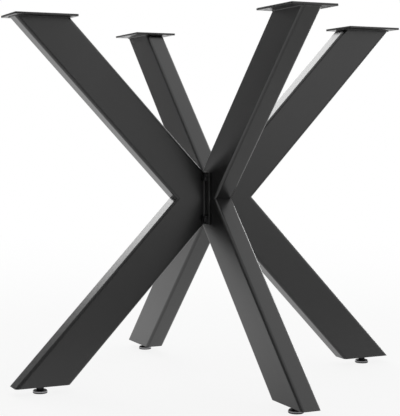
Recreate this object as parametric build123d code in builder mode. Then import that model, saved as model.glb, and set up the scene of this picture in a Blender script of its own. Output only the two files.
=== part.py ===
from build123d import *
import os
from math import atan2, cos, radians, sin, sqrt, tan

# Steel table base: a welded X frame of rectangular tube with two half frames
# bolted to its sides. Millimetres, +Z up, origin on the floor at the middle.
# The X frame stands in the YZ plane, the half frames point along -X and +X.

os.makedirs("parts", exist_ok=True)

# Rectangular tube
tube_width = 80.0
tube_thickness = 40.0
tube_wall = 3.0
tube_corner = 6.0

# Frame: overall height, run of each arm's centre line along the floor, and
# how far each half frame stands out from the middle
overall_height = 720.0
arm_reach = 334.5
half_frame_offset = 30.0

# Flanges that end the half frames
flange_thickness = 5.0
flange_overhang = 20.0
flange_corner = 2.0
flange_bolt_end_inset = 12.0
flange_bolt_side_inset = 10.0

# Bolts, washers and the threaded sleeves that cross the X frame
bolt_diameter = 8.0
bolt_length = 16.0
bolt_head_flats = 13.0
bolt_head_height = 5.3
bolt_hole_play = 0.5
washer_diameter = 16.0
washer_thickness = 1.6
washer_play = 0.2
sleeve_diameter = 14.0

# Top plates that carry the table top
plate_length = 125.0
plate_width = 95.0
plate_thickness = 4.0
plate_corner = 3.0
plate_hole_diameter = 7.0
plate_hole_inset = 13.0

# Plates and nuts inside the lower tube ends
end_plate_thickness = 5.0
foot_nut_flats = 13.0
foot_nut_height = 6.5

# Levelling feet
pad_diameter = 28.0
pad_height = 6.0
pad_rim = 1.6
pad_underside_rim = 0.6
foot_thread = 8.0
foot_thread_length = 30.0
foot_thread_chamfer = 0.8
foot_hex_flats = 13.0
foot_hex_height = 7.7
foot_root_diameter = 6.0
foot_root_length = 4.0
foot_hole_play = 0.5

# Clearances
weld_gap = 0.2
thread_gap = 0.05
seat_gap = 0.3

# Hexagons are turned down at their corners, at this angle to the flat face
hex_turned_share = 0.95
hex_turned_angle = 30.0

# Levels above the floor
tube_bottom = pad_height + foot_hex_height + seat_gap
tube_top = overall_height - plate_thickness
frame_height = tube_top - tube_bottom
middle = tube_bottom + frame_height / 2
end_plate_top = tube_bottom + end_plate_thickness
foot_shoulder = pad_height + foot_hex_height

# Slope of the arms and the length of a level cut through a tube
slope = atan2(frame_height / 2, arm_reach)
level_cut = tube_width / sin(slope)
arm_length = 2 * frame_height / sin(slope)

# Flange size: as tall as the upright cut that it closes
hub_face = tube_thickness / 2 + flange_thickness
flange_height = 2 * (hub_face - half_frame_offset + level_cut / 2) * tan(slope)
flange_width = tube_thickness + 2 * flange_overhang
bolt_across = flange_width / 2 - flange_bolt_side_inset
bolt_rise = flange_height / 2 - flange_bolt_end_inset
bolt_head_base = hub_face + washer_thickness

UP = Vector(0, 0, 1)
HEADINGS = {
    "front": Vector(0, -1, 0),
    "back": Vector(0, 1, 0),
    "left": Vector(-1, 0, 0),
    "right": Vector(1, 0, 0),
}
LEVELS = {"upper": 1, "lower": -1}


def leg_offset(side):
    """Distance from the upright axis to the point where the centre lines of a leg meet."""
    return half_frame_offset if side in ("left", "right") else 0.0


def leg_face(side):
    """Distance from the upright axis to the upright cut that ends a leg's tubes."""
    return hub_face if side in ("left", "right") else 0.0


def leg_end(side):
    """Middle of the level cut at the end of a leg, seen from above."""
    return HEADINGS[side] * (leg_offset(side) + arm_reach)


def arm_plane(side, level):
    """Plane across an arm at the point where the leg's centre lines meet."""
    outward = HEADINGS[side]
    along = outward * cos(slope) + UP * (sin(slope) * level)
    across = outward * sin(slope) - UP * (cos(slope) * level)
    start = outward * leg_offset(side) + UP * middle
    return Plane(origin=tuple(start), x_dir=tuple(across), z_dir=tuple(along))


def leg_plane(side, height):
    """Level plane at the end of a leg, with its X axis pointing outwards."""
    start = leg_end(side) + UP * height
    return Plane(origin=tuple(start), x_dir=tuple(HEADINGS[side]), z_dir=(0, 0, 1))


def hub_plane(side, distance, across=0.0, height=0.0):
    """Upright plane that faces a leg's heading, at a point beside the hub."""
    outward = HEADINGS[side]
    start = outward * distance + UP.cross(outward) * across + UP * height
    return Plane(origin=tuple(start), x_dir=tuple(UP.cross(outward)), z_dir=tuple(outward))


def bolt_places(side):
    """Names and places of the four bolts of a flange, as (name, across, height)."""
    ends = {"front": -1, "back": 1}
    turn = UP.cross(HEADINGS[side]).Y
    for end, y_sign in ends.items():
        for level, z_sign in LEVELS.items():
            yield f"{end}_{level}", y_sign * turn * bolt_across, middle + z_sign * bolt_rise


def save(piece, label):
    """Label a finished piece and write it as its own file."""
    piece.part.label = label
    export_step(piece.part, f"parts/{label}.step")


def make_arm(side, level):
    """One tube: cut level at its outer end, mitred at mid height, upright at the hub."""
    sign = LEVELS[level]
    outer_level = tube_top if sign > 0 else tube_bottom
    with BuildPart() as arm:
        with BuildSketch(arm_plane(side, sign)):
            RectangleRounded(tube_width, tube_thickness, tube_corner)
            RectangleRounded(
                tube_width - 2 * tube_wall,
                tube_thickness - 2 * tube_wall,
                tube_corner - tube_wall,
                mode=Mode.SUBTRACT,
            )
        extrude(amount=arm_length / 2, both=True)
        split(bisect_by=Plane.XY.offset(outer_level), keep=Keep.BOTTOM if sign > 0 else Keep.TOP)
        split(bisect_by=Plane.XY.offset(middle), keep=Keep.TOP if sign > 0 else Keep.BOTTOM)
        split(bisect_by=hub_plane(side, leg_face(side)), keep=Keep.TOP)
        if side in ("front", "back"):
            with BuildSketch(sleeve_plane(side, sign)):
                Circle(sleeve_diameter / 2 + weld_gap)
            extrude(amount=tube_thickness, mode=Mode.SUBTRACT)
    save(arm, f"{side}_{level}_arm")


def sleeve_plane(side, sign):
    """Plane at the -X face of the X frame, centred on one threaded sleeve."""
    start = HEADINGS[side] * bolt_across + UP * (middle + sign * bolt_rise)
    start = start - Vector(tube_thickness / 2, 0, 0)
    return Plane(origin=tuple(start), x_dir=(0, 1, 0), z_dir=(1, 0, 0))


def make_sleeve(side, level):
    """Threaded sleeve welded through the X frame, flush with both of its sides."""
    with BuildPart() as sleeve:
        with BuildSketch(sleeve_plane(side, LEVELS[level])):
            Circle(sleeve_diameter / 2)
            Circle(bolt_diameter / 2 + thread_gap, mode=Mode.SUBTRACT)
        extrude(amount=tube_thickness)
    save(sleeve, f"{side}_{level}_sleeve")


def make_flange(side):
    """Flat plate that closes the upright cut of a half frame and takes four bolts."""
    with BuildPart() as flange:
        with BuildSketch(hub_plane(side, tube_thickness / 2, height=middle)):
            RectangleRounded(flange_width, flange_height, flange_corner)
            with GridLocations(2 * bolt_across, 2 * bolt_rise, 2, 2):
                Circle(bolt_diameter / 2 + bolt_hole_play, mode=Mode.SUBTRACT)
        extrude(amount=flange_thickness)
    save(flange, f"{side}_flange")


def make_washer(side, place, across, height):
    """Flat washer on the outer face of a flange."""
    with BuildPart() as washer:
        with BuildSketch(hub_plane(side, hub_face, across, height)):
            Circle(washer_diameter / 2)
            Circle(bolt_diameter / 2 + washer_play, mode=Mode.SUBTRACT)
        extrude(amount=washer_thickness)
    save(washer, f"{side}_washer_{place}")


def turned_hexagon(plane, flats, height, both_ends):
    """Hexagon standing on a plane, with its corners turned down at one end or both."""
    corner = flats / sqrt(3)
    face_radius = flats / 2 * hex_turned_share
    drop = (corner - face_radius) * tan(radians(hex_turned_angle))
    outline = [(0, height), (face_radius, height), (corner, height - drop)]
    outline += [(corner, drop), (face_radius, 0), (0, 0)] if both_ends else [(corner, 0), (0, 0)]
    through_axis = Plane(origin=plane.origin, x_dir=plane.x_dir, z_dir=-plane.y_dir)
    with BuildPart() as hexagon:
        with BuildSketch(plane):
            RegularPolygon(flats / 2, 6, major_radius=False)
        extrude(amount=height)
        with BuildSketch(through_axis):
            with BuildLine():
                Polyline(*outline, close=True)
            make_face()
        revolve(axis=Axis(plane.origin, plane.z_dir), mode=Mode.INTERSECT)
    return hexagon.part


def make_bolt(side, place, across, height):
    """Hexagon bolt through washer and flange into a threaded sleeve."""
    seat = hub_plane(side, bolt_head_base, across, height)
    head = turned_hexagon(seat, bolt_head_flats, bolt_head_height, both_ends=False)
    with BuildPart() as bolt:
        add(head)
        with BuildSketch(seat):
            Circle(bolt_diameter / 2)
        extrude(amount=-bolt_length)
    save(bolt, f"{side}_bolt_{place}")


def make_top_plate(side):
    """Plate welded on the upper end of a leg, with four holes for the table top."""
    with BuildPart() as plate:
        with BuildSketch(leg_plane(side, tube_top)):
            RectangleRounded(plate_length, plate_width, plate_corner)
            hole_pitch_out = plate_length - 2 * plate_hole_inset
            hole_pitch_across = plate_width - 2 * plate_hole_inset
            with GridLocations(hole_pitch_out, hole_pitch_across, 2, 2):
                Circle(plate_hole_diameter / 2, mode=Mode.SUBTRACT)
        extrude(amount=plate_thickness)
    save(plate, f"{side}_top_plate")


def make_end_plate(side):
    """Plate welded inside the lower end of a leg, with a hole for the foot's thread."""
    with BuildPart() as plate:
        with BuildSketch(arm_plane(side, -1)):
            RectangleRounded(
                tube_width - 2 * tube_wall - 2 * weld_gap,
                tube_thickness - 2 * tube_wall - 2 * weld_gap,
                tube_corner - tube_wall - weld_gap,
            )
        extrude(amount=arm_length)
        split(bisect_by=Plane.XY.offset(tube_bottom), keep=Keep.TOP)
        split(bisect_by=Plane.XY.offset(end_plate_top), keep=Keep.BOTTOM)
        with BuildSketch(leg_plane(side, tube_bottom)):
            Circle(foot_thread / 2 + foot_hole_play)
        extrude(amount=end_plate_thickness, mode=Mode.SUBTRACT)
    save(plate, f"{side}_end_plate")


def make_foot_nut(side):
    """Hexagon nut welded on the inner face of an end plate."""
    seat = leg_plane(side, end_plate_top)
    hexagon = turned_hexagon(seat, foot_nut_flats, foot_nut_height, both_ends=False)
    with BuildPart() as nut:
        add(hexagon)
        with BuildSketch(seat):
            Circle(foot_thread / 2 + thread_gap)
        extrude(amount=foot_nut_height, mode=Mode.SUBTRACT)
    save(nut, f"{side}_foot_nut")


def make_foot_stem(side):
    """Threaded stem with the hexagon that turns it and a root that sits in the pad."""
    seat = leg_plane(side, pad_height)
    hexagon = turned_hexagon(seat, foot_hex_flats, foot_hex_height, both_ends=True)
    with BuildPart() as stem:
        add(hexagon)
        with BuildSketch(leg_plane(side, foot_shoulder)):
            Circle(foot_thread / 2)
        extrude(amount=foot_thread_length)
        thread_end = stem.faces().sort_by(Axis.Z)[-1]
        chamfer(thread_end.edges(), foot_thread_chamfer)
        with BuildSketch(seat):
            Circle(foot_root_diameter / 2)
        extrude(amount=-foot_root_length)
    save(stem, f"{side}_foot_stem")


def make_foot_pad(side):
    """Round pad that stands on the floor, with a blind hole for the stem's root."""
    with BuildPart() as pad:
        with BuildSketch(leg_plane(side, 0)):
            Circle(pad_diameter / 2)
        extrude(amount=pad_height)
        faces = pad.faces().sort_by(Axis.Z)
        chamfer(faces[-1].edges(), pad_rim)
        chamfer(faces[0].edges(), pad_underside_rim)
        with BuildSketch(leg_plane(side, pad_height)):
            Circle(foot_root_diameter / 2 + thread_gap)
        extrude(amount=-(foot_root_length + thread_gap), mode=Mode.SUBTRACT)
    save(pad, f"{side}_foot_pad")


for side_name in HEADINGS:
    for level_name in LEVELS:
        make_arm(side_name, level_name)
    make_top_plate(side_name)
    make_end_plate(side_name)
    make_foot_nut(side_name)
    make_foot_stem(side_name)
    make_foot_pad(side_name)

for side_name in ("front", "back"):
    for level_name in LEVELS:
        make_sleeve(side_name, level_name)

for side_name in ("left", "right"):
    make_flange(side_name)
    for place_name, place_across, place_height in bolt_places(side_name):
        make_washer(side_name, place_name, place_across, place_height)
        make_bolt(side_name, place_name, place_across, place_height)
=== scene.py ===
"""Studio picture of a black steel table base, dressed around its CAD model.

Metres, +Z up, with the origin on the floor at the middle of the base. The front
and back legs are one welded X frame in the YZ plane, and the left and right legs
are half frames bolted to its sides.
"""

import logging
from collections.abc import Iterable, Mapping
from dataclasses import dataclass, field
from enum import Enum
from math import atan2, cos, pi, radians, sin
from typing import Any

import bmesh
import bpy
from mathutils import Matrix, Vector


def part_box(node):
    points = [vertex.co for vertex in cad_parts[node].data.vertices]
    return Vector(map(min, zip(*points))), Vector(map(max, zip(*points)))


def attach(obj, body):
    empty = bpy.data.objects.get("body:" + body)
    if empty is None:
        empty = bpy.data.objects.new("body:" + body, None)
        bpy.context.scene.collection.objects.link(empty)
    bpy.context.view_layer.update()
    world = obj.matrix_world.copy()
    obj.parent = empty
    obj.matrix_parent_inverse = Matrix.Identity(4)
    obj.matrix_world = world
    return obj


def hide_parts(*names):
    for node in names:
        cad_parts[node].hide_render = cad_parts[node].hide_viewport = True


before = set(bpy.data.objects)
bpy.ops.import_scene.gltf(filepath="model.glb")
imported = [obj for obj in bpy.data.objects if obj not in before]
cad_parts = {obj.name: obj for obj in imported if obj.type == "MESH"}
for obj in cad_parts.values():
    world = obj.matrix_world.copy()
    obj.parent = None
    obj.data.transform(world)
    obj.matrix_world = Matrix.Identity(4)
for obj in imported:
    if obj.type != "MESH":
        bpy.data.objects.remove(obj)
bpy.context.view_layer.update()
MILLIMETRE = 0.001
MERGE_DISTANCE = 0.002 * MILLIMETRE
FLAT_ANGLE = radians(0.5)
SHARP_ANGLE = radians(35)
NOISE_MIDDLE = 0.5
UP = Vector((0.0, 0.0, 1.0))
BASE_MIDDLE = Vector((0.0, 0.0, 0.36))

log = logging.getLogger("table_base")

Color = tuple[float, float, float]
Pair = tuple[float, float]


class Side(Enum):
    """The four legs, each with the level direction in which it points."""

    FRONT = (0.0, -1.0, 0.0)
    BACK = (0.0, 1.0, 0.0)
    LEFT = (-1.0, 0.0, 0.0)
    RIGHT = (1.0, 0.0, 0.0)

    @property
    def label(self) -> str:
        """Word that starts the names of this leg's CAD nodes."""
        return self.name.lower()

    @property
    def outward(self) -> Vector:
        """Level unit vector from the middle of the base along this leg."""
        return Vector(self.value)

    @property
    def across(self) -> Vector:
        """Level unit vector at right angles to this leg."""
        return UP.cross(self.outward)

    @property
    def foot_body(self) -> str:
        """Name of the CAD body of this leg's levelling foot."""
        return f"{self.label}_foot"


class Level(Enum):
    """The two tubes of a leg."""

    UPPER = "upper"
    LOWER = "lower"


class Slot(Enum):
    """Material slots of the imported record."""

    COAT = "black_coat"
    BLACK_STEEL = "black_steel"
    PLAIN_STEEL = "plain_steel"
    BRIGHT_STEEL = "bright_steel"


# Node trees

class Term:
    """A node socket that takes part in arithmetic on plain values."""

    def __init__(self, graph: "Graph", socket: bpy.types.NodeSocket) -> None:
        """Wrap one output socket of a graph."""
        self.graph = graph
        self.socket = socket

    def _math(self, operation: str, *values: "Term | float") -> "Term":
        """Add a Math node on the given values and return its result."""
        return self.graph.node("ShaderNodeMath", {"operation": operation}, dict(enumerate(values)))

    def __add__(self, other: "Term | float") -> "Term":
        """Sum."""
        return self._math("ADD", self, other)

    def __radd__(self, other: "Term | float") -> "Term":
        """Sum with a number on the left."""
        return self._math("ADD", other, self)

    def __sub__(self, other: "Term | float") -> "Term":
        """Difference."""
        return self._math("SUBTRACT", self, other)

    def __rsub__(self, other: "Term | float") -> "Term":
        """Difference with a number on the left."""
        return self._math("SUBTRACT", other, self)

    def __mul__(self, other: "Term | float") -> "Term":
        """Product."""
        return self._math("MULTIPLY", self, other)

    def __rmul__(self, other: "Term | float") -> "Term":
        """Product with a number on the left."""
        return self._math("MULTIPLY", other, self)

    def __truediv__(self, other: "Term | float") -> "Term":
        """Quotient."""
        return self._math("DIVIDE", self, other)

    def fraction(self) -> "Term":
        """Part after the decimal point."""
        return self._math("FRACT", self)

    def size(self) -> "Term":
        """Value without its sign."""
        return self._math("ABSOLUTE", self)

    def least(self, other: "Term | float") -> "Term":
        """Smaller of two values."""
        return self._math("MINIMUM", self, other)

    def most(self, other: "Term | float") -> "Term":
        """Larger of two values."""
        return self._math("MAXIMUM", self, other)

    def above(self, other: "Term | float") -> "Term":
        """1 where this value is the larger, otherwise 0."""
        return self._math("GREATER_THAN", self, other)

    def sine(self) -> "Term":
        """Sine of an angle in radians."""
        return self._math("SINE", self)

    def cosine(self) -> "Term":
        """Cosine of an angle in radians."""
        return self._math("COSINE", self)


class Graph:
    """A node tree that is filled by expressions."""

    def __init__(self, tree: bpy.types.NodeTree) -> None:
        """Start on an existing tree."""
        self.tree = tree

    def node(
        self,
        kind: str,
        settings: Mapping[str, Any] | None = None,
        values: Mapping[int | str, Any] | None = None,
        output: int | str = 0,
    ) -> Term | None:
        """Add a node.

        Args:
            kind: Type of the node.
            settings: Properties that are set first.
            values: Numbers, colours, data-blocks or Terms for the input sockets.
            output: Which output the returned Term reads.

        Returns:
            The chosen output, or None on a node without outputs.
        """
        made = self.tree.nodes.new(kind)
        for name, value in (settings or {}).items():
            setattr(made, name, value)
        for key, value in (values or {}).items():
            socket = self._find(made.inputs, key)
            if isinstance(value, Term):
                self.tree.links.new(value.socket, socket)
            else:
                socket.default_value = value
        return Term(self, self._find(made.outputs, output)) if made.outputs else None

    @staticmethod
    def _find(sockets: Iterable[bpy.types.NodeSocket], key: int | str) -> bpy.types.NodeSocket:
        """Return a socket by its number, its identifier or its name."""
        if isinstance(key, int):
            return sockets[key]
        named = [s for s in sockets if s.identifier == key]
        return (named or [s for s in sockets if s.name == key])[0]


class Finish(Graph):
    """Node material whose patterns keep their place on the object."""

    def __init__(self, name: str) -> None:
        """Make an empty material."""
        self.material = bpy.data.materials.new(name)
        self.material.use_nodes = True
        self.material.node_tree.nodes.clear()
        super().__init__(self.material.node_tree)
        self.place = self.node("ShaderNodeTexCoord", output="Object")

    def noise(self, grain: float, detail: float = 2.0, stretch: Color | None = None) -> Term:
        """Cloudy pattern from 0 to 1.

        Args:
            grain: Size of one cloud, in metres.
            detail: Number of finer layers.
            stretch: Scale of the pattern along X, Y and Z, where it isn't even.

        Returns:
            The pattern's value.
        """
        place = self.place
        if stretch:
            place = self.node("ShaderNodeMapping", values={"Vector": place, "Scale": stretch})
        values = {"Vector": place, "Scale": 1.0 / grain, "Detail": detail}
        return self.node("ShaderNodeTexNoise", values=values)

    def blend(self, share: Term, low: Color, high: Color | Term) -> Term:
        """Colour that goes from low to high as share goes from 0 to 1."""
        top = high if isinstance(high, Term) else (*high, 1.0)
        values = {"Factor_Float": share, "A_Color": (*low, 1.0), "B_Color": top}
        return self.node("ShaderNodeMix", {"data_type": "RGBA"}, values, "Result_Color")

    def matt(self, share: Term, depth: float, color: Color) -> Term:
        """Matt shader in a colour that a pattern darkens to the given part of it."""
        low = tuple(depth * value for value in color)
        return self.node("ShaderNodeBsdfDiffuse", values={"Color": self.blend(share, low, color)})

    def bump(self, height: Term, depth: float) -> Term:
        """Normal bent by a height pattern that is depth metres deep."""
        return self.node("ShaderNodeBump", values={"Height": height, "Distance": depth, "Strength": 1.0})

    def surface(self, **sockets: Any) -> bpy.types.Material:
        """End the material in a Principled shader with these sockets.

        Args:
            sockets: Values by socket name, with _ for each space.

        Returns:
            The finished material.
        """
        values = {name.replace("_", " "): value for name, value in sockets.items()}
        shader = self.node("ShaderNodeBsdfPrincipled", values=values)
        self.node("ShaderNodeOutputMaterial", values={"Surface": shader})
        return self.material


class Shape(Graph):
    """Geometry Nodes tree with named inputs for its sizes."""

    def __init__(self, name: str, sizes: Mapping[str, float | int], material: bpy.types.Material) -> None:
        """Args:
            name: Name of the tree.
            sizes: Names and values of its inputs. A whole number makes a whole-number socket.
            material: Finish of what the tree makes.
        """
        tree = bpy.data.node_groups.new(name, "GeometryNodeTree")
        tree.is_modifier = True
        super().__init__(tree)
        self.sizes = dict(sizes)
        self.material = material
        tree.interface.new_socket("Geometry", in_out="INPUT", socket_type="NodeSocketGeometry")
        tree.interface.new_socket("Geometry", in_out="OUTPUT", socket_type="NodeSocketGeometry")
        self.keys = {}
        for label, value in sizes.items():
            kind = "NodeSocketInt" if isinstance(value, int) else "NodeSocketFloat"
            self.keys[label] = tree.interface.new_socket(label, in_out="INPUT", socket_type=kind).identifier
        self.inputs = tree.nodes.new("NodeGroupInput")

    def size(self, label: str) -> Term:
        """Named input of the tree."""
        return Term(self, self._find(self.inputs.outputs, label))

    def source(self) -> Term:
        """Geometry that the modifier receives."""
        return Term(self, self.inputs.outputs["Geometry"])

    def end(self, geometry: Term) -> None:
        """Make the result real, give it its material and put it out."""
        real = self.node("GeometryNodeRealizeInstances", values={"Geometry": geometry})
        values = {"Geometry": real, "Material": self.material}
        dressed = self.node("GeometryNodeSetMaterial", values=values)
        self.node("NodeGroupOutput", values={"Geometry": dressed})

    def bake(self, mesh: bpy.types.Mesh, name: str) -> bpy.types.Object:
        """Run the tree on a mesh and keep the result as a plain object.

        Args:
            mesh: Mesh that the tree starts from.
            name: Name of the new object.

        Returns:
            An object at the origin, with no modifier.
        """
        made = link(bpy.data.objects.new(name, mesh))
        modifier = made.modifiers.new(name, "NODES")
        modifier.node_group = self.tree
        for label, value in self.sizes.items():
            modifier[self.keys[label]] = value
        graph = bpy.context.evaluated_depsgraph_get()
        plain = bpy.data.meshes.new_from_object(made.evaluated_get(graph))
        one_material(plain, self.material)
        made.modifiers.remove(modifier)
        made.data = plain
        bpy.data.meshes.remove(mesh)
        return made


# Meshes

def link(piece: bpy.types.Object) -> bpy.types.Object:
    """Put a new object in the scene."""
    bpy.context.scene.collection.objects.link(piece)
    return piece


def dress_node(node: str, material: bpy.types.Material) -> None:
    """Give a CAD node its finish."""
    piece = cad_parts[node]
    piece.data.materials.clear()
    piece.data.materials.append(material)
    log.info("node %s: %s", node, material.name)


def one_material(mesh: bpy.types.Mesh, material: bpy.types.Material) -> None:
    """Give every face of a mesh the same material, in its only slot."""
    mesh.materials.clear()
    mesh.materials.append(material)
    mesh.polygons.foreach_set("material_index", [0] * len(mesh.polygons))


def seat_piece(piece: bpy.types.Object, body: str, slot: Slot, *nodes: str) -> bpy.types.Object:
    """Make a finished piece ride on its body.

    Args:
        piece: The piece, in place.
        body: CAD body that carries it.
        slot: Material slot of the record. Not used.
        nodes: CAD nodes that it stands for.

    Returns:
        The same piece.
    """
    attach(piece, body)
    if nodes:
        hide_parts(*nodes)
    log.info("piece %s on %s: %d faces", piece.name, body, len(piece.data.polygons))
    return piece


def path_mesh(name: str, points: list[Vector], closed: bool) -> bpy.types.Mesh:
    """Mesh of edges alone, along a path."""
    count = len(points)
    edges = [(i, (i + 1) % count) for i in range(count if closed else count - 1)]
    mesh = bpy.data.meshes.new(name)
    mesh.from_pydata(points, edges, [])
    return mesh


def rounded_loop(size: Pair, corner: Pair, steps: int) -> list[Pair]:
    """Points round a rectangle with elliptic corners.

    Args:
        size: Full length and width.
        corner: Corner radii along the length and the width.
        steps: Points in each corner, less one.

    Returns:
        Points as (along, across), in order round the rectangle.
    """
    turns = ((1, 1, 0.0), (-1, 1, pi / 2), (-1, -1, pi), (1, -1, 3 * pi / 2))
    loop = []
    for along, across, start in turns:
        middle = (along * (size[0] / 2 - corner[0]), across * (size[1] / 2 - corner[1]))
        for step in range(steps + 1):
            angle = start + pi / 2 * step / steps
            loop.append((middle[0] + corner[0] * cos(angle), middle[1] + corner[1] * sin(angle)))
    return loop


def clean_copy(node: str) -> bmesh.types.BMesh:
    """Copy of a CAD node's mesh with its points merged and its flat faces whole."""
    mesh = bmesh.new()
    mesh.from_mesh(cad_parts[node].data)
    bmesh.ops.remove_doubles(mesh, verts=mesh.verts, dist=MERGE_DISTANCE)
    bmesh.ops.dissolve_limit(mesh, angle_limit=FLAT_ANGLE, verts=mesh.verts, edges=mesh.edges)
    return mesh


def smooth_object(name: str, mesh: bmesh.types.BMesh, material: bpy.types.Material) -> bpy.types.Object:
    """Turn an edited mesh into an object that is shaded smooth between its sharp edges."""
    data = bpy.data.meshes.new(name)
    mesh.to_mesh(data)
    mesh.free()
    data.shade_smooth()
    data.set_sharp_from_angle(angle=SHARP_ANGLE)
    one_material(data, material)
    return link(bpy.data.objects.new(name, data))


# Finishes

@dataclass(frozen=True)
class PowderCoat:
    """Satin black powder coat: even black with a fine orange peel."""

    name: str = "powder_coat"
    dark: Color = (0.0044, 0.0044, 0.0045)
    light: Color = (0.0064, 0.0064, 0.0066)
    roughness: float = 0.30
    roughness_spread: float = 0.06
    glass_index: float = 1.55
    clear_weight: float = 0.28
    clear_roughness: float = 0.30
    cloud: float = 0.11
    peel: float = 1.6 * MILLIMETRE
    peel_depth: float = 0.022 * MILLIMETRE
    speck: float = 0.45 * MILLIMETRE
    speck_share: float = 0.25
    cloud_share: float = 0.7

    def material(self) -> bpy.types.Material:
        """Build the node material."""
        finish = Finish(self.name)
        cloud = finish.noise(self.cloud, detail=3.0)
        peel = finish.noise(self.peel, detail=1.0)
        speck = finish.noise(self.speck, detail=1.0)
        mottle = cloud * self.cloud_share + peel * (1 - self.cloud_share)
        height = peel * (1 - self.speck_share) + speck * self.speck_share
        return finish.surface(
            Base_Color=finish.blend(mottle, self.dark, self.light),
            Roughness=self.roughness + (cloud + peel - 2 * NOISE_MIDDLE) * self.roughness_spread,
            IOR=self.glass_index,
            Coat_Weight=self.clear_weight,
            Coat_Roughness=self.clear_roughness,
            Normal=finish.bump(height, self.peel_depth),
        )


@dataclass(frozen=True)
class PlatedSteel:
    """Machined and plated steel with fine tool marks round the part."""

    name: str
    dark: Color
    light: Color
    roughness: float = 0.34
    roughness_spread: float = 0.14
    cloud: float = 6 * MILLIMETRE
    tool_mark: float = 0.5 * MILLIMETRE
    tool_depth: float = 0.012 * MILLIMETRE
    tool_stretch: Color = (0.2, 0.2, 1.0)
    edge: Color = (1.0, 1.0, 1.0)

    def material(self) -> bpy.types.Material:
        """Build the node material."""
        finish = Finish(self.name)
        cloud = finish.noise(self.cloud, detail=3.0)
        marks = finish.noise(self.tool_mark, detail=2.0, stretch=self.tool_stretch)
        return finish.surface(
            Base_Color=finish.blend(cloud, self.dark, self.light),
            Specular_Tint=(*self.edge, 1.0),
            Metallic=1.0,
            Roughness=self.roughness + (cloud - NOISE_MIDDLE) * self.roughness_spread,
            Normal=finish.bump(marks, self.tool_depth),
        )


@dataclass(frozen=True)
class BandedPad:
    """Bright plated steel band between a black sole and a black crown, parted by height: the sole is black
    and also painted contact shade, the crown is painted shade under the leg.
    """

    name: str = "banded_pad"
    dark: Color = (0.30, 0.30, 0.31)
    light: Color = (0.39, 0.39, 0.40)
    # Black of the sole, also used as painted contact shade below the band and as painted shade on the crown
    # above it.
    sole: Color = (0.022, 0.022, 0.023)
    sole_height: float = 2.4 * MILLIMETRE
    shaded_crown_height: float = 5.3 * MILLIMETRE
    roughness: float = 0.28
    sole_roughness: float = 0.55
    roughness_spread: float = 0.1
    cloud: float = 6 * MILLIMETRE
    tool_mark: float = 0.5 * MILLIMETRE
    tool_depth: float = 0.012 * MILLIMETRE
    tool_stretch: Color = (0.2, 0.2, 1.0)

    def material(self) -> bpy.types.Material:
        """Build the node material."""
        finish = Finish(self.name)
        cloud = finish.noise(self.cloud, detail=3.0)
        marks = finish.noise(self.tool_mark, detail=2.0, stretch=self.tool_stretch)
        height = finish.node("ShaderNodeSeparateXYZ", values={"Vector": finish.place}, output="Z")
        # Steel only between the two heights; below is the black sole with painted contact shade, above is
        # the crown painted black as painted shade.
        band = height.above(self.sole_height) * (self.shaded_crown_height - height).above(0.0)
        steel = finish.blend(cloud, self.dark, self.light)
        even = self.sole_roughness - band * (self.sole_roughness - self.roughness)
        return finish.surface(
            Base_Color=finish.blend(band, self.sole, steel),
            Metallic=band,
            Roughness=even + (cloud - NOISE_MIDDLE) * self.roughness_spread,
            Normal=finish.bump(marks + band, self.tool_depth),
        )


# Black steel of the foot stems and their threads, darker than the bolts' black steel and with a dulled edge
# reflection: partly the steel's own black, partly painted shade under the leg.
SHADED_STEM_STEEL = PlatedSteel(
    name="black_stem_steel",
    dark=(0.014, 0.014, 0.0145),
    light=(0.027, 0.027, 0.028),
    edge=(0.15, 0.15, 0.15),
)
BOLT_STEEL = PlatedSteel(name="black_bolt_steel", dark=(0.05, 0.05, 0.052), light=(0.085, 0.085, 0.088))
BARE_STEEL = PlatedSteel(name="bare_steel", dark=(0.38, 0.38, 0.39), light=(0.5, 0.5, 0.51))


@dataclass
class Palette:
    """The finishes of the whole base, each built once."""

    coat: bpy.types.Material = field(default_factory=PowderCoat().material)
    shaded_stem_steel: bpy.types.Material = field(default_factory=SHADED_STEM_STEEL.material)
    bolt_steel: bpy.types.Material = field(default_factory=BOLT_STEEL.material)
    bare_steel: bpy.types.Material = field(default_factory=BARE_STEEL.material)
    pad: bpy.types.Material = field(default_factory=BandedPad().material)


# Sub-assemblies

@dataclass
class Tube:
    """Rectangular tube of the legs, with the slope worked out from the frame."""

    width: float = 80 * MILLIMETRE
    thickness: float = 40 * MILLIMETRE
    corner: float = 6 * MILLIMETRE
    top: float = field(init=False)
    bottom: float = field(init=False)
    slope: float = field(init=False)

    def __post_init__(self) -> None:
        """Read the tube ends and the reach of the legs from the CAD boxes."""
        plate_low, plate_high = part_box("front_top_plate")
        reach = abs(plate_low.y + plate_high.y) / 2
        self.top = plate_low.z
        self.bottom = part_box("front_lower_arm")[0].z
        self.slope = atan2((self.top - self.bottom) / 2, reach)

    @property
    def middle(self) -> float:
        """Height at which the two tubes of a leg meet."""
        return (self.top + self.bottom) / 2

    @property
    def level_cut(self) -> Pair:
        """Length and width of a level cut through the sloping tube."""
        return self.width / sin(self.slope), self.thickness

    @property
    def level_corner(self) -> Pair:
        """Corner radii of a level cut, along and across the leg."""
        return self.corner / sin(self.slope), self.corner


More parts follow.
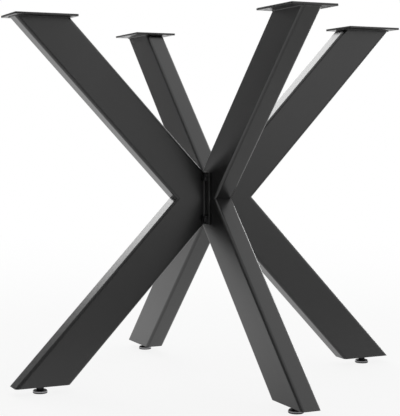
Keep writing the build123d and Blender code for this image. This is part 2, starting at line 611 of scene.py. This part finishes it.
@dataclass
class WeldBead:
    """Fillet bead whose ripples follow a path, made by Geometry Nodes."""

    material: bpy.types.Material
    radius: float = 2.1 * MILLIMETRE
    ripple: float = 1.5 * MILLIMETRE
    ripple_share: float = 0.14
    wander: float = 0.16
    wander_grain: float = 7 * MILLIMETRE
    points_per_ripple: int = 4
    profile_points: int = 10
    seed: float = 3.0
    shape: Shape = field(init=False)

    def __post_init__(self) -> None:
        """Build the tree once for every bead."""
        sizes = {
            "Radius": self.radius,
            "Ripple": self.ripple,
            "Ripple Share": self.ripple_share,
            "Wander": self.wander,
            "Wander Grain": self.wander_grain,
            "Step": self.ripple / self.points_per_ripple,
            "Profile Points": self.profile_points,
            "Seed": self.seed,
        }
        self.shape = Shape("weld_bead", sizes, self.material)
        tree = self.shape
        curve = tree.node("GeometryNodeMeshToCurve", values={"Mesh": tree.source()})
        even = tree.node(
            "GeometryNodeResampleCurve", {"mode": "LENGTH"}, {"Curve": curve, "Length": tree.size("Step")}
        )
        length = tree.node("GeometryNodeSplineParameter", output="Length")
        ripple = (length / tree.size("Ripple")).fraction()
        place = tree.node("GeometryNodeInputPosition")
        wander = tree.node(
            "ShaderNodeTexNoise",
            {"noise_dimensions": "4D"},
            {"Vector": place, "W": tree.size("Seed"), "Scale": 1 / self.wander_grain},
        )
        girth = 1 - ripple * tree.size("Ripple Share") + (wander - NOISE_MIDDLE) * tree.size("Wander")
        profile = tree.node(
            "GeometryNodeCurvePrimitiveCircle",
            values={"Resolution": tree.size("Profile Points"), "Radius": tree.size("Radius")},
        )
        bead = tree.node(
            "GeometryNodeCurveToMesh",
            values={"Curve": even, "Profile Curve": profile, "Scale": girth, "Fill Caps": True},
        )
        smooth = tree.node("GeometryNodeSetShadeSmooth", values={"Geometry": bead})
        tree.end(smooth)

    def lay(self, name: str, points: list[Vector], closed: bool) -> bpy.types.Object:
        """Lay a bead along a path.

        Args:
            name: Name of the piece.
            points: Root of the joint that the bead fills.
            closed: Whether the bead runs all the way round.

        Returns:
            The bead as a piece of the welded frame.
        """
        return seat_piece(self.shape.bake(path_mesh(name, points, closed), name), "frame", Slot.COAT)


@dataclass
class ScrewThread:
    """Coarse metric thread whose ridge winds up a rod, made by Geometry Nodes."""

    material: bpy.types.Material
    diameter: float = 8 * MILLIMETRE
    pitch: float = 1.25 * MILLIMETRE
    depth: float = 0.74 * MILLIMETRE
    chamfer: float = 0.8 * MILLIMETRE
    crest_share: float = 0.14
    points_round: int = 24
    points_per_pitch: int = 8

    def shape(self, base: Vector, length: float) -> Shape:
        """Build the tree for a thread that stands at a place.

        Args:
            base: Foot of the threaded stretch.
            length: Length of the threaded stretch.

        Returns:
            The finished tree.
        """
        rows = round(length / self.pitch * self.points_per_pitch)
        sizes = {
            "Radius": self.diameter / 2,
            "Pitch": self.pitch,
            "Depth": self.depth,
            "Chamfer": self.chamfer,
            "Crest": self.crest_share,
            "Length": length,
            "Rows": rows + 1,
            "Columns": self.points_round + 1,
            "Base X": base.x,
            "Base Y": base.y,
            "Base Z": base.z,
        }
        tree = Shape("screw_thread", sizes, self.material)
        counts = {"Vertices X": tree.size("Columns"), "Vertices Y": tree.size("Rows")}
        grid = tree.node("GeometryNodeMeshGrid", values={"Size X": 1.0, "Size Y": 1.0, **counts})
        place = tree.node("GeometryNodeInputPosition")
        turn = tree.node("ShaderNodeSeparateXYZ", values={"Vector": place}, output="X") + 0.5
        rise = tree.node("ShaderNodeSeparateXYZ", values={"Vector": place}, output="Y") + 0.5
        row = 1.0 / rows
        share = ((rise - row) / (1 - 2 * row)).most(0.0).least(1.0)
        height = share * tree.size("Length")
        wave = ((height / tree.size("Pitch") - turn).fraction() * 2 - 1).size()
        groove = ((wave - tree.size("Crest")) / (1 - 2 * self.crest_share)).most(0.0).least(1.0)
        radius = tree.size("Radius") - groove * tree.size("Depth")
        limit = tree.size("Radius") - tree.size("Chamfer") + tree.size("Length") - height
        closed = rise.above(row / 2) * (1 - rise).above(row / 2)
        reach = radius.least(limit) * closed
        angle = turn * (2 * pi)
        values = {
            "X": angle.cosine() * reach + tree.size("Base X"),
            "Y": angle.sine() * reach + tree.size("Base Y"),
            "Z": height + tree.size("Base Z"),
        }
        moved = tree.node(
            "GeometryNodeSetPosition",
            values={"Geometry": grid, "Position": tree.node("ShaderNodeCombineXYZ", values=values)},
        )
        sealed = tree.node(
            "GeometryNodeMergeByDistance", values={"Geometry": moved, "Distance": MERGE_DISTANCE}
        )
        smooth = tree.node("GeometryNodeSetShadeSmooth", values={"Geometry": sealed})
        tree.end(smooth)
        return tree


@dataclass
class SoftEdge:
    """Edge of a cut plate, rounded by blasting and by the coat on it."""

    radius: float = 0.45 * MILLIMETRE
    steps: int = 2
    roundness: float = 0.5
    sharpest_flat: float = radians(30)

    def copy(self, node: str, name: str, material: bpy.types.Material) -> bpy.types.Object:
        """Copy a CAD node with its sharp edges rounded.

        Args:
            node: CAD node to copy.
            name: Name of the new piece.
            material: Finish of the new piece.

        Returns:
            The new piece, which doesn't ride on a body yet.
        """
        mesh = clean_copy(node)
        sharp = [e for e in mesh.edges if e.is_manifold and e.calc_face_angle() > self.sharpest_flat]
        bmesh.ops.bevel(
            mesh,
            geom=sharp,
            offset=self.radius,
            segments=self.steps,
            profile=self.roundness,
            affect="EDGES",
            clamp_overlap=True,
        )
        return smooth_object(name, mesh, material)


@dataclass
class Leg:
    """Two sloping tubes and the plate on top of them."""

    side: Side
    tube: Tube
    palette: Palette
    bead: WeldBead
    edge: SoftEdge
    corner_steps: int = 6

    def build(self) -> None:
        """Dress the tubes and build the plate and its weld."""
        for level in Level:
            dress_node(f"{self.side.label}_{level.value}_arm", self.palette.coat)
        dress_node(f"{self.side.label}_end_plate", self.palette.coat)
        self.build_plate()
        self.build_weld()

    def build_plate(self) -> None:
        """Stand a plate with softened edges in for the CAD plate."""
        node = f"{self.side.label}_top_plate"
        plate = self.edge.copy(node, f"{self.side.label}_coated_plate", self.palette.coat)
        seat_piece(plate, "frame", Slot.COAT, node)

    def build_weld(self) -> None:
        """Lay a bead round the tube's level cut, under the plate."""
        low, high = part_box(f"{self.side.label}_top_plate")
        middle = (low + high) / 2
        root = Vector((middle.x, middle.y, self.tube.top))
        loop = rounded_loop(self.tube.level_cut, self.tube.level_corner, self.corner_steps)
        points = [root + self.side.outward * along + self.side.across * across for along, across in loop]
        self.bead.lay(f"{self.side.label}_plate_weld", points, closed=True)


@dataclass
class Hub:
    """Flanges, bolts and sleeves that hold the half frames to the X frame."""

    tube: Tube
    palette: Palette
    bead: WeldBead
    edge: SoftEdge
    bead_end: float = 5 * MILLIMETRE

    def build(self) -> None:
        """Dress the fasteners and build the flanges and their welds."""
        for side in (Side.LEFT, Side.RIGHT):
            self.build_flange(side)
            for end in (Side.FRONT, Side.BACK):
                self.build_weld(side, end)
                for level in Level:
                    place = f"{end.label}_{level.value}"
                    dress_node(f"{side.label}_bolt_{place}", self.palette.bolt_steel)
                    dress_node(f"{side.label}_washer_{place}", self.palette.bolt_steel)
        for side in (Side.FRONT, Side.BACK):
            for level in Level:
                dress_node(f"{side.label}_{level.value}_sleeve", self.palette.bare_steel)

    def build_flange(self, side: Side) -> None:
        """Stand a flange with softened edges in for the CAD flange."""
        node = f"{side.label}_flange"
        flange = self.edge.copy(node, f"{side.label}_coated_flange", self.palette.coat)
        seat_piece(flange, "frame", Slot.COAT, node)

    def build_weld(self, side: Side, end: Side) -> None:
        """Lay an upright bead where a half frame meets its flange.

        Args:
            side: Half frame that the flange belongs to.
            end: Side of the tube on which the bead lies.
        """
        low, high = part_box(f"{side.label}_flange")
        face = max(abs(low.x), abs(high.x))
        foot = side.outward * face + end.outward * (self.tube.thickness / 2)
        reach = (high.z - low.z) / 2 - self.tube.corner - self.bead_end
        points = [foot + UP * (self.tube.middle + sign * reach) for sign in (-1, 1)]
        self.bead.lay(f"{side.label}_flange_weld_{end.label}", points, closed=False)


@dataclass
class LevellingFoot:
    """Screwed foot under one leg: stem, pad and the nut that holds it."""

    side: Side
    palette: Palette
    thread: ScrewThread
    core_share: float = 0.78
    overlap: float = 0.4 * MILLIMETRE
    thread_margin: float = 1.05

    def build(self) -> None:
        """Dress the pad and the nut and build the threaded stem."""
        dress_node(f"{self.side.label}_foot_pad", self.palette.pad)
        dress_node(f"{self.side.label}_foot_nut", self.palette.bare_steel)
        self.build_stem()

    def build_stem(self) -> None:
        """Stand a stem with a cut thread in for the plain CAD stem."""
        node = f"{self.side.label}_foot_stem"
        low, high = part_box(node)
        middle = (low + high) / 2
        mesh = clean_copy(node)
        shoulder = self._shoulder(mesh, middle)
        for vertex in mesh.verts:
            if vertex.co.z > shoulder + self.overlap:
                vertex.co.x = middle.x + (vertex.co.x - middle.x) * self.core_share
                vertex.co.y = middle.y + (vertex.co.y - middle.y) * self.core_share
                vertex.co.z -= self.overlap
        core = smooth_object(f"{self.side.label}_stem_core", mesh, self.palette.shaded_stem_steel)
        base = Vector((middle.x, middle.y, shoulder - self.overlap))
        tree = self.thread.shape(base, high.z - base.z)
        name = f"{self.side.label}_threaded_stem"
        ridge = tree.bake(bpy.data.meshes.new(name), name)
        stem = self._join(name, ridge, core)
        seat_piece(stem, self.side.foot_body, Slot.BLACK_STEEL, node)

    def _shoulder(self, mesh: bmesh.types.BMesh, middle: Vector) -> float:
        """Height at which the hexagon ends: the highest point outside the thread."""
        reach = self.thread_margin * self.thread.diameter / 2
        return max(v.co.z for v in mesh.verts if (v.co - middle).xy.length > reach)

    @staticmethod
    def _join(name: str, *parts: bpy.types.Object) -> bpy.types.Object:
        """Join objects that share one finish into the first of them."""
        mesh = bmesh.new()
        for part in parts:
            mesh.from_mesh(part.data)
        first, *rest = parts
        mesh.to_mesh(first.data)
        mesh.free()
        for part in rest:
            bpy.data.objects.remove(part)
        first.name = name
        return first


# Studio

@dataclass(frozen=True)
class ViewPoint:
    """Camera at the photograph's viewing angle."""

    frame_width: int = 400
    frame_height: int = 416
    side_angle: float = radians(-26.80)
    distance: float = 2.3655
    height: float = 0.4970
    heading: float = radians(23.85)
    tilt: float = radians(-0.870)
    focal_pixels: float = 1164.0
    sight_column: float = 151.0
    sight_row: float = 150.0
    sensor: float = 36.0

    def place(self) -> bpy.types.Object:
        """Make the scene's camera."""
        data = bpy.data.cameras.new("camera")
        long_side = max(self.frame_width, self.frame_height)
        data.sensor_width = self.sensor
        data.lens = self.focal_pixels * self.sensor / long_side
        data.shift_x = (self.frame_width / 2 - self.sight_column) / long_side
        data.shift_y = (self.sight_row - self.frame_height / 2) / long_side
        camera = link(bpy.data.objects.new("camera", data))
        camera.location = (
            self.distance * sin(self.side_angle),
            -self.distance * cos(self.side_angle),
            self.height,
        )
        camera.rotation_euler = (pi / 2 + self.tilt, 0.0, -self.heading)
        bpy.context.scene.camera = camera
        return camera


@dataclass(frozen=True)
class SoftBox:
    """Large soft lamp, placed round the middle of the base."""

    name: str
    azimuth: float
    elevation: float
    size: Pair
    power: float
    distance: float = 3.6

    def place(self) -> bpy.types.Object:
        """Make the lamp."""
        data = bpy.data.lights.new(self.name, "AREA")
        data.shape = "RECTANGLE"
        data.size, data.size_y = self.size
        data.energy = self.power
        lamp = link(bpy.data.objects.new(self.name, data))
        turn, rise = radians(self.azimuth), radians(self.elevation)
        away = Vector((sin(turn) * cos(rise), -cos(turn) * cos(rise), sin(rise)))
        lamp.location = BASE_MIDDLE + away * self.distance
        lamp.rotation_euler = away.to_track_quat("Z", "Y").to_euler()
        lamp.visible_camera = False
        return lamp


LAMPS = (
    SoftBox("right_rim", azimuth=117, elevation=8, size=(1.0, 1.8), power=26),
    SoftBox("back", azimuth=176, elevation=30, size=(2.2, 1.8), power=36),
    SoftBox("right_high", azimuth=90, elevation=45, size=(2.6, 2.0), power=5),
    SoftBox("front_right", azimuth=38, elevation=12, size=(3.0, 2.4), power=2.6),
    SoftBox("front", azimuth=0, elevation=16, size=(2.6, 2.4), power=1.8),
)


@dataclass
class Studio:
    """Pale floor, white surroundings, soft lamps and the camera."""

    floor_reach: float = 12.0
    floor_color: Color = (0.82, 0.82, 0.815)
    floor_glow_near: float = 0.87
    mirrored_glow: float = 0.6
    mirrored_slope: Color = (-0.4, 0.55, 0.0)
    mirrored_most: float = 1.0
    floor_fade_start: float = 0.9
    floor_fade_end: float = 3.2
    floor_grain: float = 0.9
    floor_depth: float = 0.99
    floor_sides: int = 64
    plain_light: float = 0.6
    flag_color: Color = (0.55, 0.55, 0.55)
    flag_grain: float = 0.2
    flag_depth: float = 0.9
    flag_distance: float = 5.0
    flag_height: float = 6.4
    flag_start: float = -172.0
    flag_end: float = 10.0
    flag_steps: int = 24
    white: Color = (1.0, 1.0, 1.0)
    lamps: tuple[SoftBox, ...] = LAMPS
    view: ViewPoint = ViewPoint()

    def build(self) -> None:
        """Set the whole stage."""
        bpy.context.scene.view_settings.view_transform = "Standard"
        self.build_world()
        self.build_floor()
        self.build_flag()
        for lamp in self.lamps:
            lamp.place()
        self.view.place()

    @staticmethod
    def _rays(graph: Graph, *kinds: str) -> Term:
        """1 on the named kinds of ray, otherwise 0."""
        first, *rest = (graph.node("ShaderNodeLightPath", output=f"Is {kind} Ray") for kind in kinds)
        for other in rest:
            first = first.most(other)
        return first

    def build_flag(self) -> None:
        """Stand a grey curved screen on the dim side, which the camera doesn't see."""
        points, faces = [], []
        for step in range(self.flag_steps + 1):
            turn = radians(self.flag_start + (self.flag_end - self.flag_start) * step / self.flag_steps)
            foot = Vector((sin(turn), -cos(turn), 0.0)) * self.flag_distance
            points += [foot, foot + UP * self.flag_height]
        for step in range(self.flag_steps):
            faces.append((2 * step, 2 * step + 1, 2 * step + 3, 2 * step + 2))
        data = bpy.data.meshes.new("grey_flag")
        data.from_pydata(points, [], faces)
        data.materials.append(self.flag_material())
        flag = link(bpy.data.objects.new("grey_flag", data))
        flag.visible_camera = False

    def flag_material(self) -> bpy.types.Material:
        """Grey cloth of the screen."""
        finish = Finish("grey_cloth")
        matt = finish.matt(finish.noise(self.flag_grain), self.flag_depth, self.flag_color)
        finish.node("ShaderNodeOutputMaterial", values={"Surface": matt})
        return finish.material

    def build_world(self) -> None:
        """Surround the base with white that lights it at a plain level."""
        world = bpy.data.worlds.new("white_surroundings")
        world.use_nodes = True
        world.node_tree.nodes.clear()
        bpy.context.scene.world = world
        graph = Graph(world.node_tree)
        seen = self._rays(graph, "Camera", "Glossy", "Transmission")
        strength = self.plain_light + seen * (1 - self.plain_light)
        values = {"Color": (*self.white, 1.0), "Strength": strength}
        light = graph.node("ShaderNodeBackground", values=values)
        graph.node("ShaderNodeOutputWorld", values={"Surface": light})

    def build_floor(self) -> None:
        """Lay a pale floor that takes the base's shadow."""
        mesh = bmesh.new()
        bmesh.ops.create_circle(mesh, cap_ends=True, segments=self.floor_sides, radius=self.floor_reach)
        floor = smooth_object("floor", mesh, self.floor_material())

    def _near_to_far(self, finish: Finish) -> Term:
        """Share of glow on the floor, which grows to 1 away from the base."""
        reach = finish.node("ShaderNodeVectorMath", {"operation": "LENGTH"}, {0: finish.place}, "Value")
        span = self.floor_fade_end - self.floor_fade_start
        far = ((reach - self.floor_fade_start) / span).most(0.0).least(1.0)
        return self.floor_glow_near + far * (1 - self.floor_glow_near)

    def _bright_side(self, finish: Finish) -> Term:
        """Share of glow that the base mirrors, which grows towards the back and the left."""
        values = {0: finish.place, 1: self.mirrored_slope}
        slope = finish.node("ShaderNodeVectorMath", {"operation": "DOT_PRODUCT"}, values, "Value")
        return (slope + self.mirrored_glow).most(0.0).least(self.mirrored_most)

    def floor_material(self) -> bpy.types.Material:
        """White floor: a diffuse surface that glows where it is seen or mirrored."""
        finish = Finish("pale_floor")
        matt = finish.matt(finish.noise(self.floor_grain), self.floor_depth, self.floor_color)
        glow = finish.node("ShaderNodeEmission", values={"Color": (*self.white, 1.0), "Strength": 1.0})
        seen = self._rays(finish, "Camera", "Transmission") * self._near_to_far(finish)
        share = seen + self._rays(finish, "Glossy") * self._bright_side(finish)
        both = finish.node("ShaderNodeMixShader", values={0: share, 1: matt, 2: glow})
        finish.node("ShaderNodeOutputMaterial", values={"Surface": both})
        return finish.material


def main() -> None:
    """Build the base and its studio."""
    logging.basicConfig(level=logging.INFO, format="%(name)s: %(message)s")
    palette = Palette()
    tube = Tube()
    bead = WeldBead(palette.coat)
    edge = SoftEdge()
    thread = ScrewThread(palette.shaded_stem_steel)
    for side in Side:
        Leg(side, tube, palette, bead, edge).build()
        LevellingFoot(side, palette, thread).build()
    Hub(tube, palette, bead, edge).build()
    Studio().build()


if __name__ == "__main__":
    main()
